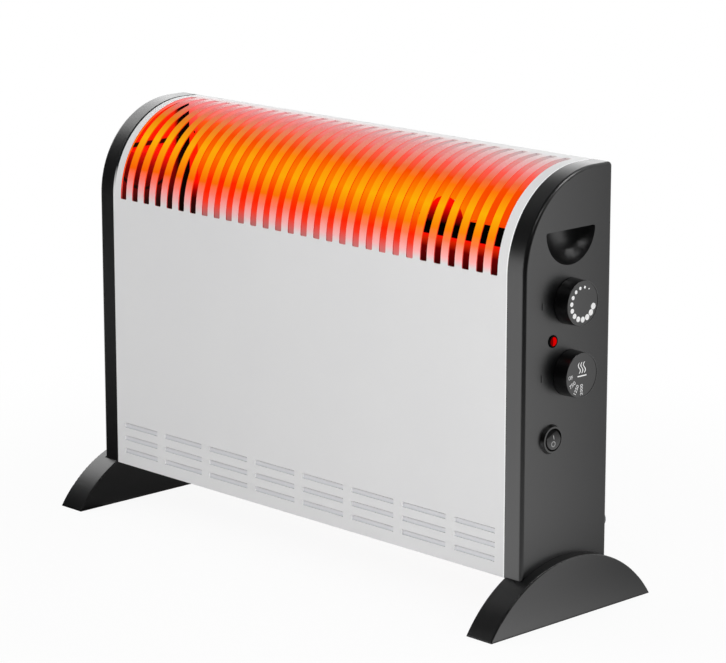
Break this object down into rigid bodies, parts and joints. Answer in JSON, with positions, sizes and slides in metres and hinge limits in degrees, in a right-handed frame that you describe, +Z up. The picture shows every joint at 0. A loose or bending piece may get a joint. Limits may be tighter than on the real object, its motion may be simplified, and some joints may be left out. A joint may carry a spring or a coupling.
{
  "type": "convector heater",
  "caption": "Free-standing convector heater with a slotted, front-curved steel casing, moulded end caps and feet, side knobs, a rocker switch and a turbo fan inside.",
  "frame": {"origin": "middle of the whole heater's footprint, on the floor under the feet", "axes": "+X along the heater's length, towards the end cap with the controls; -Y towards the front, where the casing is curved; +Z up"},
  "size_m": [0.5644, 0.196, 0.38],
  "materials": {
    "casing_sheet": "light grey powder coat, satin",
    "inner_sheet": "bare galvanised sheet",
    "moulding": "charcoal moulded plastic, fine matt grain",
    "knob_plastic": "dark moulded plastic, fine matt grain",
    "switch_plastic": "black moulded plastic",
    "lamp_red": "clear red lens",
    "fin_metal": "as extruded",
    "rod_metal": "heat-tinted sheath",
    "screw_metal": "blackened steel",
    "bright_steel": "plain turned steel",
    "bush_ceramic": "cream fired ceramic",
    "fan_plastic": "dark heat-proof plastic",
    "motor_iron": "varnished iron stack",
    "gear_plastic": "cream heat-proof plastic"
  },
  "bodies": {
    "housing": {"front_casing": "casing_sheet", "rear_panel": "casing_sheet", "bottom_grille": "inner_sheet", "right_end_cap": "moulding", "left_end_cap": "moulding", "right_foot": "moulding", "left_foot": "moulding", "foot_screws": "screw_metal", "casing_screws": "screw_metal", "plate_screws": "screw_metal", "lower_fin_block": "fin_metal", "upper_fin_block": "fin_metal", "lower_heating_rod": "rod_metal", "upper_heating_rod": "rod_metal", "element_bushes": "bush_ceramic", "left_end_plate": "inner_sheet", "control_shield": "inner_sheet", "reflector": "inner_sheet", "thermal_cutout": "gear_plastic", "fan_bracket": "inner_sheet", "fan_motor": "motor_iron", "thermostat_body": "gear_plastic", "selector_switch": "gear_plastic", "control_nuts": "bright_steel", "lamp_holder": "switch_plastic", "lamp_lens": "lamp_red", "rocker_housing": "switch_plastic", "terminal_block": "gear_plastic", "cable_inlet": "switch_plastic"},
    "thermostat": {"thermostat_knob": "knob_plastic", "thermostat_stem": "bright_steel"},
    "selector": {"selector_knob": "knob_plastic", "selector_stem": "bright_steel"},
    "rocker": {"rocker_button": "switch_plastic"},
    "fan": {"fan_impeller": "fan_plastic", "fan_shaft": "bright_steel"}
  },
  "joints": [
    {"name": "thermostat_turn", "type": "hinge", "parent": "housing", "child": "thermostat", "pos_m": [0.26775, 0.0021, 0.27], "axis": [1, 0, 0], "range_deg": [-162, 123]},
    {"name": "selector_turn", "type": "hinge", "parent": "housing", "child": "selector", "pos_m": [0.26775, 0.0021, 0.2095], "axis": [1, 0, 0], "range_deg": [-90, 0]},
    {"name": "rocker_tilt", "type": "hinge", "parent": "housing", "child": "rocker", "pos_m": [0.26805, -0.0193, 0.1565], "axis": [0, 1, 0], "range_deg": [0, 16]},
    {"name": "fan_spin", "type": "hinge", "parent": "housing", "child": "fan", "pos_m": [-0.05225, 0, 0.09], "axis": [0, 0, 1], "continuous": true}
  ]
}
